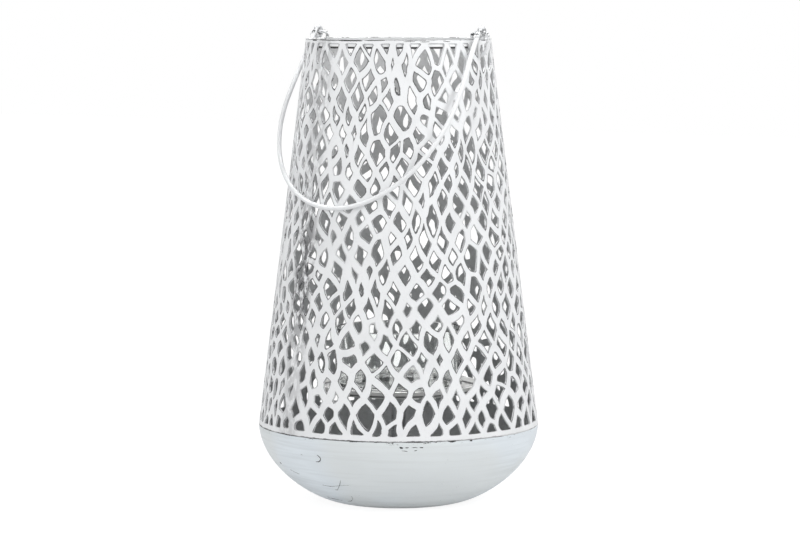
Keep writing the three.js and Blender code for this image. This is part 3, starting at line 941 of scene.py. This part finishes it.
def sprayed_white(name, chip_share, worn_level, worn_reach, worn_grain, along_edges=False,
                  white=SPRAYED_WHITE):
    """White spray paint, thin in places, with bare spots where it is rubbed."""
    material, tree, _ = start_finish(name)
    cloud = times(tree, fade(tree, grain(tree, 0.02), 0.42, 0.70), 0.45)
    speckle = times(tree, fade(tree, grain(tree, 0.0018, detail=3), 0.56, 0.70), 0.5)
    colour = tint(tree, combine(tree, "MAXIMUM", cloud, speckle), white, SPRAYED_THIN)
    bare = chipped(tree, 0.0035, chip_share, (1, 1, 1.4))
    if along_edges:
        distance = add_node(tree, "ShaderNodeAttribute", attribute_name="from_opening").outputs["Fac"]
        ragged = times(tree, grain(tree, 0.006, detail=6, rough=0.65), EDGE_RAGGED)
        reach = combine(tree, "ADD", distance, ragged)
        colour = tint(tree, times(tree, fade(tree, reach, *EDGE_THIN), 0.35), colour, SPRAYED_THIN)
        # A dark ragged outline round each opening, in the colour of bare steel, broken into patches.
        patchy = times(tree, fade(tree, grain(tree, 0.045, detail=3), 0.36, 0.54), 0.65)
        dark_marks = times(tree, fade(tree, reach, *EDGE_DARK_OUTLINE), combine(tree, "ADD", patchy, 0.30))
        bare = combine(tree, "MAXIMUM", bare, dark_marks)
        colour = tint(tree, scorched(tree), colour, WELD_SCORCH)
    rubbed = fade(tree, grain(tree, worn_grain, (1, 1, 1.6), detail=5, rough=0.65), 0.53, 0.56)
    scuffed = times(tree, rubbed, beside(tree, worn_level, worn_reach))
    bare = combine(tree, "MAXIMUM", bare, scuffed)
    colour = tint(tree, bare, colour, BARE_STEEL)
    skin = combine(tree, "SUBTRACT", times(tree, grain(tree, 0.0016, detail=2), 0.5), bare)
    return finished(material, colour, fade(tree, grain(tree, 0.008), -0.8, 1.8), skin, 0.00016)


def cut_edge():
    material, tree, _ = start_finish("cut_edge_grey")
    overspray = fade(tree, grain(tree, 0.005), 0.30, 0.48)
    colour = tint(tree, scorched(tree), tint(tree, overspray, CUT_GREY, CUT_SPRAYED), WELD_SCORCH)
    roughness = fade(tree, grain(tree, 0.002), -1.2, 1.8)
    return finished(material, colour, roughness, grain(tree, 0.0006, (1, 1, 0.2)), 0.00008)


cut_grey = cut_edge()
cone_paint = sprayed_white("sprayed_white_cone", chip_share=-0.02, worn_level=CONE_TOP,
                           worn_reach=0.0012, worn_grain=0.010, along_edges=True)
cone = Fretwork().build("fretwork_cone", [cone_paint, inside_grey, cut_grey])
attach(cone, "lantern_body")
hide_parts("fretwork_shell")

# Wear round the rim, at (from, to) degrees to the right of the camera, each mark with its
# drop below the rim and its width in millimetres.
rim_chips = [
    ((-57, -38), 0.55, 0.7),
    ((-39, -22), 0.85, 1.1),
    ((-21, -8), 0.5, 0.6),
    ((-66, -60), 1.0, 1.2),
    ((3, 10), 1.4, 0.5),
    ((13, 19), 1.6, 0.6),
    ((28, 33), 1.5, 0.5),
    ((61, 68), 1.0, 1.0),
    ((84, 101), 0.65, 0.8),
    ((118, 141), 0.6, 0.7),
    ((163, 170), 1.0, 1.1),
    ((187, 209), 0.55, 0.6),
    ((226, 240), 0.8, 0.9),
    ((262, 275), 0.6, 0.7),
]
RIM_STEP = 2  # degrees from one place of a mark to the next
rim_marks = []
for (start, end), drop_mm, width_mm in rim_chips:
    steps = max(2, round((end - start) / RIM_STEP))
    height = CONE_TOP - drop_mm / 1000
    radius = cone_radius(height) + CRACK_LIFT
    route = [start + (end - start) * k / steps for k in range(steps + 1)]
    rim_marks.append(([round_place(degrees, radius, height) for degrees in route], width_mm))
rim_wear = add_flakes("rim_chips", rim_marks)
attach(rim_wear, "lantern_body")

# The rim hoop
# A strip of flat steel rolled to a ring and spot welded inside the mouth. The paint is worn off
# its upper edge. Its lower band is dark steel, painted shade for the gap behind the top row of openings.
HOOP_HEIGHT = 0.0075
HOOP_WALL = 0.0015
HOOP_SHADE_BAND = 0.0017  # how far the dark steel of the painted shade reaches up from the lower edge
HOOP_EDGE = 0.0003  # how far its edges are broken
HOOP_FACETS = 160
# The hoop's white is lighter than the cone's: painted light that makes up for the shade inside the mouth.
HOOP_WHITE_LIT = (0.84, 0.85, 0.855)
GAP = 0.0003  # between pieces that touch
hoop_low = CONE_TOP - HOOP_HEIGHT


def hoop_outer(z):
    return cone_radius(z) - SHEET * cone_slant - GAP


hoop_profile = [
    (hoop_outer(hoop_low) - HOOP_EDGE, hoop_low),
    (hoop_outer(hoop_low), hoop_low + HOOP_EDGE),
    (hoop_outer(hoop_low + HOOP_SHADE_BAND), hoop_low + HOOP_SHADE_BAND),
    (hoop_outer(CONE_TOP), CONE_TOP - HOOP_EDGE),
    (hoop_outer(CONE_TOP) - HOOP_EDGE, CONE_TOP),
    (hoop_outer(CONE_TOP) - HOOP_WALL + HOOP_EDGE, CONE_TOP),
    (hoop_outer(CONE_TOP) - HOOP_WALL, CONE_TOP - HOOP_EDGE),
    (hoop_outer(hoop_low) - HOOP_WALL, hoop_low + HOOP_EDGE),
    (hoop_outer(hoop_low) - HOOP_WALL + HOOP_EDGE, hoop_low),
]
hoop_paint = sprayed_white("sprayed_white_hoop", chip_share=-0.02, worn_level=CONE_TOP,
                           worn_reach=0.0009, worn_grain=0.012, white=HOOP_WHITE_LIT)
hoop = turned("rolled_hoop", hoop_profile, HOOP_FACETS, hoop_paint)
# The lower band takes the dark steel finish as painted shade, the shadow in the gap between hoop and cone.
hoop.data.materials.append(raw_steel)
for face in hoop.data.polygons:
    if all(hoop.data.vertices[i].co.z < hoop_low + HOOP_SHADE_BAND + HOOP_EDGE for i in face.vertices):
        face.material_index = 1
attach(hoop, "lantern_body")
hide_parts("rim_hoop")

# The ears
# A staple of 3 mm wire over the rim at each side, welded inside the hoop. Its outer leg bows
# down and back to the cone, and the bail hangs from its top.
EAR_WIRE = 0.003
EAR_RISE = 0.0055
EAR_REACH = 0.0915
EAR_BEND = 0.0032
EAR_FOOT_DEPTH = 0.014
EAR_TAIL = 0.006
EAR_BOW = 80  # degrees through which the outer leg bows back to the cone
HINGE_HEIGHT = CONE_TOP + EAR_RISE
WIRE_SIDES = 16
RING_SPACING = 0.12  # the least there is between two rings of a wire, in radii
DOME_DEGREES = (20, 45, 70)  # of the rings that round off a wire's end
DOME_DEPTH = 0.5  # how deep that dome is, in radii
BEND_STEPS = 10
BOW_STEPS = 22


def bend(centre, across, along, from_degrees, to_degrees, steps):
    """Places on part of an ellipse from centre + across, turning towards centre + along."""
    places = []
    for k in range(steps + 1):
        angle = math.radians(from_degrees + (to_degrees - from_degrees) * k / steps)
        places.append(centre + across * math.cos(angle) + along * math.sin(angle))
    return places


def wire(name, route, radius, material):
    """A round wire along a route, with domed ends."""
    places = [route[0]]
    for place in route[1:]:
        if (place - places[-1]).length > radius * RING_SPACING:
            places.append(place)
    headings = []
    for k in range(len(places)):
        ahead = places[min(k + 1, len(places) - 1)] - places[max(k - 1, 0)]
        headings.append(ahead.normalized())
    first, final = headings[0], headings[-1]
    dome = [(math.sin(math.radians(d)), math.cos(math.radians(d))) for d in DOME_DEGREES]
    rings = []
    for width, back in dome:
        rings.append((places[0] - first * radius * back * DOME_DEPTH, first, radius * width))
    rings += [(place, heading, radius) for place, heading in zip(places, headings)]
    for width, forth in reversed(dome):
        rings.append((places[-1] + final * radius * forth * DOME_DEPTH, final, radius * width))
    normal = headings[0].orthogonal().normalized()
    vertices = []
    faces = []
    for centre, heading, girth in rings:
        normal = (normal - heading * normal.dot(heading)).normalized()
        side = heading.cross(normal)
        for k in range(WIRE_SIDES):
            angle = 2 * math.pi * k / WIRE_SIDES
            vertices.append(centre + (normal * math.cos(angle) + side * math.sin(angle)) * girth)
    for ring in range(len(rings) - 1):
        for k in range(WIRE_SIDES):
            following = (k + 1) % WIRE_SIDES
            low, high = ring * WIRE_SIDES, (ring + 1) * WIRE_SIDES
            faces.append((low + k, low + following, high + following, high + k))
    faces.append(tuple(range(WIRE_SIDES))[::-1])
    faces.append(tuple(range(len(vertices) - WIRE_SIDES, len(vertices))))
    return add_mesh(name, vertices, faces, material)


def ear_route(side):
    clear = GAP + EAR_WIRE / 2
    out, up = Vector((side * EAR_BEND, 0, 0)), Vector((0, 0, EAR_BEND))
    inner_x = hoop_outer(CONE_TOP) - HOOP_WALL - clear
    foot_z = CONE_TOP - EAR_FOOT_DEPTH
    foot_x = cone_radius(foot_z) + clear * cone_slant
    crown = HINGE_HEIGHT - EAR_BEND
    route = [Vector((side * inner_x, 0, CONE_TOP - EAR_TAIL))]
    route += bend(Vector((side * (inner_x + EAR_BEND), 0, crown)), -out, up, 0, 90, BEND_STEPS)
    route += bend(Vector((side * (EAR_REACH - EAR_BEND), 0, crown)), up, out, 0, 90, BEND_STEPS)
    bow_centre = Vector((side * foot_x, 0, crown))
    bow_out = Vector((side * (EAR_REACH - foot_x), 0, 0))
    bow_down = Vector((0, 0, foot_z - crown))
    route += bend(bow_centre, bow_out, bow_down, 0, EAR_BOW, BOW_STEPS)
    return route


ear_paint = sprayed_white("sprayed_white_ear", chip_share=0.12, worn_level=HINGE_HEIGHT,
                          worn_reach=0.012, worn_grain=0.0035)
ears = (("ear_staple_right", "ear_right", 1), ("ear_staple_left", "ear_left", -1))
for ear_name, ear_node, side in ears:
    ear = wire(ear_name, ear_route(side), EAR_WIRE / 2, ear_paint)
    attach(ear, "lantern_body")
    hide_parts(ear_node)

# The bail
# A single 4 mm wire bent to a deep loop, with an eye curled round each ear. It is painted with
# the body, and the paint has come off where it knocks against the cone.
BAIL_WIRE = 0.004
BAIL_SPREAD = 0.085
BAIL_BELLY = 0.0875
BAIL_LEG = 0.070
BAIL_DEPTH = 0.177
EYE_PLAY = 0.0008
EYE_TURN = 268  # degrees of curl
EYE_STEPS = 36
LEG_STEPS = 24
LOOP_STEPS = 90

eye_radius = EAR_WIRE / 2 + EYE_PLAY + BAIL_WIRE / 2
reach_out = BAIL_DEPTH + cone_slope * eye_radius
reach_up = eye_radius - cone_slope * BAIL_DEPTH
rest_distance = MOUTH_RADIUS + cone_slope * (CONE_TOP - HINGE_HEIGHT)
rest_distance += (BAIL_WIRE / 2 + GAP) * cone_slant
hang = math.asin(rest_distance / math.hypot(reach_out, reach_up)) - math.atan2(reach_up, reach_out)


def hanging(x, depth, away):
    """A place in the bail's plane, away from the cone by away, set at its hanging angle."""
    forward = depth * math.sin(hang) + away * math.cos(hang)
    down = depth * math.cos(hang) - away * math.sin(hang)
    return Vector((x, -forward, HINGE_HEIGHT - down))


def bail_half(side):
    """The curl of one eye and the leg below it, as (x, depth, away) in the bail's plane."""
    half = []
    for k in range(EYE_STEPS + 1):
        angle = math.radians(EYE_TURN * (1 - k / EYE_STEPS))
        half.append((side * BAIL_SPREAD, -eye_radius * math.sin(angle), eye_radius * math.cos(angle)))
    for k in range(1, LEG_STEPS):
        share = k / LEG_STEPS
        swell = 3 * share ** 2 - 2 * share ** 3
        x = side * (BAIL_SPREAD + (BAIL_BELLY - BAIL_SPREAD) * swell)
        half.append((x, BAIL_LEG * share, eye_radius))
    return half


bail_loop = []
for k in range(LOOP_STEPS + 1):
    angle = math.pi * k / LOOP_STEPS
    depth = BAIL_LEG + (BAIL_DEPTH - BAIL_LEG) * math.sin(angle)
    bail_loop.append((BAIL_BELLY * math.cos(angle), depth, eye_radius))
bail_route = [hanging(*place) for place in bail_half(1) + bail_loop + bail_half(-1)[::-1]]
bail_paint = sprayed_white("sprayed_white_bail", chip_share=0.03, worn_level=HINGE_HEIGHT,
                           worn_reach=0.006, worn_grain=0.0035)
bail = wire("bail_wire", bail_route, BAIL_WIRE / 2, bail_paint)
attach(bail, "bail_handle")
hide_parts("bail")

# The post, its washer and its screw
# A turned spacer with a flange at each end carries the dish above the bowl. A pan-head screw
# and a washer pull it down from inside the recess under the foot. All are zinc plated.
POST_RADIUS = 0.006
POST_FLANGE_RADIUS = 0.015
POST_FLANGE = 0.002
POST_EDGE = 0.0004
POST_FACETS = 64
DISH_HEIGHT = 0.097
ZINC_BRIGHT = (0.62, 0.63, 0.64)
ZINC_DULL = (0.45, 0.46, 0.47)
dish_under = DISH_HEIGHT - SHEET
post_foot = RECESS_DEPTH + SHEET + GAP
post_top = dish_under - GAP


def arc(middle, radius, from_degrees, to_degrees, steps):
    """Profile points on part of a circle."""
    points = []
    for k in range(steps + 1):
        angle = math.radians(from_degrees + (to_degrees - from_degrees) * k / steps)
        points.append((middle[0] + radius * math.cos(angle), middle[1] + radius * math.sin(angle)))
    return points


def plated_steel():
    material, tree, shader = start_finish("zinc_plated_steel")
    rings = grain(tree, 0.006, (0.6, 0.6, 9), detail=5)
    bloom = fade(tree, grain(tree, 0.008), 0.42, 0.70)
    shader.inputs["Metallic"].default_value = 1
    colour = tint(tree, bloom, ZINC_BRIGHT, ZINC_DULL)
    return finished(material, colour, fade(tree, rings, -0.5, 2.0), rings, 0.00004)


zinc = plated_steel()
post_profile = [
    (0, post_foot),
    (POST_FLANGE_RADIUS - POST_EDGE, post_foot),
    (POST_FLANGE_RADIUS, post_foot + POST_EDGE),
    (POST_FLANGE_RADIUS, post_foot + POST_FLANGE - POST_EDGE),
    (POST_FLANGE_RADIUS - POST_EDGE, post_foot + POST_FLANGE),
    *reversed(arc((POST_RADIUS + POST_FLANGE, post_foot + 2 * POST_FLANGE), POST_FLANGE, 180, 270, 8)),
    *arc((POST_RADIUS + POST_FLANGE, post_top - 2 * POST_FLANGE), POST_FLANGE, 180, 90, 8),
    (POST_FLANGE_RADIUS - POST_EDGE, post_top - POST_FLANGE),
    (POST_FLANGE_RADIUS, post_top - POST_FLANGE + POST_EDGE),
    (POST_FLANGE_RADIUS, post_top - POST_EDGE),
    (POST_FLANGE_RADIUS - POST_EDGE, post_top),
    (0, post_top),
]
post = turned("turned_post", post_profile, POST_FACETS, zinc)
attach(post, "lantern_body")
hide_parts("dish_post")

SCREW_RADIUS = 0.0025
SCREW_HEAD_RADIUS = 0.005
SCREW_HEAD = 0.003
SCREW_LENGTH = 0.018
SCREW_PITCH = 0.0008
SCREW_FACETS = 48
THREAD_DEPTH = 0.0004
PLAIN_SHANK = 0.001  # without thread, under the head and as much at the tip
TIP_TAPER = 0.0005
HEAD_EDGE = 0.0002
PAN_HEAD = ((0.0022, 0), (0.0036, 0.1), (0.0046, 0.38), (SCREW_HEAD_RADIUS, 0.7))  # radius, share of height
CROSS_LENGTH = 0.0026  # from the middle to the end of each slot
CROSS_WIDTH = 0.0005  # half the width of a slot
CROSS_DEPTH = 0.0012
CUTTER_REACH = 0.0005  # how far the cutter of the slots stands out of the head
WASHER_RADIUS = 0.008
WASHER = 0.001
WASHER_EDGE = 0.00015
washer_top = RECESS_DEPTH - GAP
head_top = washer_top - WASHER - GAP
head_low = head_top - SCREW_HEAD
washer_profile = [
    (SCREW_RADIUS + GAP, washer_top - WASHER),
    (WASHER_RADIUS - WASHER_EDGE, washer_top - WASHER),
    (WASHER_RADIUS, washer_top - WASHER + WASHER_EDGE),
    (WASHER_RADIUS, washer_top - WASHER_EDGE),
    (WASHER_RADIUS - WASHER_EDGE, washer_top),
    (SCREW_RADIUS + GAP, washer_top),
]
washer = turned("flat_washer", washer_profile, POST_FACETS, zinc)
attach(washer, "lantern_body")
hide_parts("post_washer")

thread = []
turns_of_thread = int((SCREW_LENGTH - 2 * PLAIN_SHANK) / SCREW_PITCH)
for k in range(turns_of_thread):
    low = head_top + PLAIN_SHANK + k * SCREW_PITCH
    thread += [(SCREW_RADIUS, low), (SCREW_RADIUS - THREAD_DEPTH, low + SCREW_PITCH / 2)]
screw_profile = [
    (0, head_low),
    *[(radius, head_low + share * SCREW_HEAD) for radius, share in PAN_HEAD],
    (SCREW_HEAD_RADIUS, head_top - HEAD_EDGE),
    (SCREW_HEAD_RADIUS - HEAD_EDGE, head_top),
    (SCREW_RADIUS, head_top),
    *thread,
    (SCREW_RADIUS - TIP_TAPER, head_top + SCREW_LENGTH),
    (0, head_top + SCREW_LENGTH),
]
screw = turned("pan_head_screw", screw_profile, SCREW_FACETS, zinc)
cross_low = head_low - CUTTER_REACH
cross_high = head_low + CROSS_DEPTH
cross_arm = ((-CROSS_WIDTH, CROSS_LENGTH), (CROSS_WIDTH, CROSS_LENGTH), (CROSS_WIDTH, CROSS_WIDTH))
star = []
for k in range(4):
    angle = -k * math.pi / 2
    for across, along in cross_arm:
        x = across * math.cos(angle) - along * math.sin(angle)
        star.append((x, across * math.sin(angle) + along * math.cos(angle)))
cutter_vertices = [(x, y, z) for z in (cross_low, cross_high) for x, y in star]
count = len(star)
cutter_faces = [tuple(range(count)), tuple(range(2 * count - 1, count - 1, -1))]
cutter_faces += [(k, k + count, (k + 1) % count + count, (k + 1) % count) for k in range(count)]
cutter = add_mesh("cross_recess", cutter_vertices, cutter_faces, zinc)
slotted = screw.modifiers.new("cross", "BOOLEAN")
slotted.operation = "DIFFERENCE"
slotted.object = cutter
evaluated = screw.evaluated_get(bpy.context.evaluated_depsgraph_get())
screw.data = bpy.data.meshes.new_from_object(evaluated)
screw.modifiers.clear()
bpy.data.objects.remove(cutter)
mark_sharp(screw)
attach(screw, "lantern_body")
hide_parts("post_screw")

# The dish
# A shallow plate pressed from the same sheet, with a flared lip that keeps the cup in place.
# Grey-white paint, worn through to dark steel along the lip.
DISH_RADIUS = 0.071
DISH_LIP = 0.005
DISH_LIP_FLARE = 0.0015
DISH_FOOT_ROUND = 0.0016
DISH_CORNER = 0.001
DISH_FACETS = 128
STOVED_WHITE = (0.86, 0.86, 0.85)
STOVED_FILM = (0.76, 0.765, 0.76)
lip_top = dish_under + SHEET + DISH_LIP
foot_turn = (DISH_RADIUS - DISH_LIP_FLARE - DISH_FOOT_ROUND, dish_under + DISH_FOOT_ROUND)
inner_turn = (DISH_RADIUS - DISH_LIP_FLARE - DISH_FOOT_ROUND - SHEET * 0.4, DISH_HEIGHT + DISH_CORNER)
dish_profile = [
    (0, dish_under),
    *arc(foot_turn, DISH_FOOT_ROUND, 270, 345, 8),
    (DISH_RADIUS - 0.0001, lip_top - SHEET / 2),
    *arc((DISH_RADIUS - SHEET / 2, lip_top - SHEET / 2), SHEET / 2, 0, 180, 10),
    *arc(inner_turn, DISH_CORNER, 345, 270, 6),
    (0, DISH_HEIGHT),
]


def glossy_dish_paint():
    """Smooth stoved white, worn along the lip, with painted shade darkening it low down where the lip
    stands up.
    """
    material, tree, _ = start_finish("glossy_dish_white")
    film = fade(tree, grain(tree, 0.03), 0.40, 0.70)
    colour = tint(tree, times(tree, film, 0.5), STOVED_WHITE, STOVED_FILM)
    # Painted shade: the dish's upper face turns toward dark steel low down, most in the corner at the foot
    # of the lip.
    painted_corner_shade = times(tree, beside(tree, DISH_HEIGHT + 0.0006, 0.0014), 0.92)
    rubbed = times(tree, chipped(tree, 0.006, 0.16, (1, 1, 3)), beside(tree, lip_top, 0.0022))
    colour = tint(tree, combine(tree, "MAXIMUM", painted_corner_shade, rubbed), colour, BARE_STEEL)
    roughness = combine(tree, "ADD", times(tree, film, 0.10), 0.05)
    return finished(material, colour, roughness, grain(tree, 0.03, detail=1), 0.00008)


dish_paint = glossy_dish_paint()
dish = turned("pressed_dish", dish_profile, DISH_FACETS, dish_paint)
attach(dish, "lantern_body")
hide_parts("candle_dish")

# The glass cup
# A straight-sided cup of clear pressed glass with a thick base and a fire-polished rim. It
# stands loose on the dish inside its lip.
CUP_RADIUS = 0.055
CUP_HEIGHT = 0.053
CUP_WALL = 0.0022
CUP_BASE = 0.0045
CUP_CORNER = 0.004
CUP_HOLLOW = 0.0008  # how far its underside is drawn up in the middle
CUP_FACETS = 128
GLASS_CLEAR = (0.985, 0.995, 0.99)
GLASS_HAZED = (0.95, 0.97, 0.965)
cup_foot = DISH_HEIGHT + GAP
cup_top = cup_foot + CUP_HEIGHT
inner_corner = CUP_CORNER / 2


def clear_glass():
    material, tree, shader = start_finish("clear_glass")
    haze = fade(tree, grain(tree, 0.02), 0.40, 0.80)
    shader.inputs["Transmission Weight"].default_value = 1
    shader.inputs["IOR"].default_value = 1.46
    colour = tint(tree, haze, GLASS_CLEAR, GLASS_HAZED)
    waves = grain(tree, 0.03, (1, 1, 0.4), detail=1)
    return finished(material, colour, times(tree, haze, 0.09), waves, 0.00012)


inner_turn = (CUP_RADIUS - CUP_WALL - inner_corner, cup_foot + CUP_BASE + inner_corner)
cup_profile = [
    (0, cup_foot + CUP_HOLLOW),
    (CUP_RADIUS * 0.7, cup_foot + 0.75 * CUP_HOLLOW),
    (CUP_RADIUS * 0.78, cup_foot),
    *arc((CUP_RADIUS - CUP_CORNER, cup_foot + CUP_CORNER), CUP_CORNER, 270, 360, 10),
    *arc((CUP_RADIUS - CUP_WALL / 2, cup_top - CUP_WALL / 2), CUP_WALL / 2, 0, 180, 10),
    *arc(inner_turn, inner_corner, 0, -90, 8),
    (0, cup_foot + CUP_BASE),
]
cup = turned("pressed_glass_cup", cup_profile, CUP_FACETS, clear_glass())
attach(cup, "cup")
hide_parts("glass_cup")
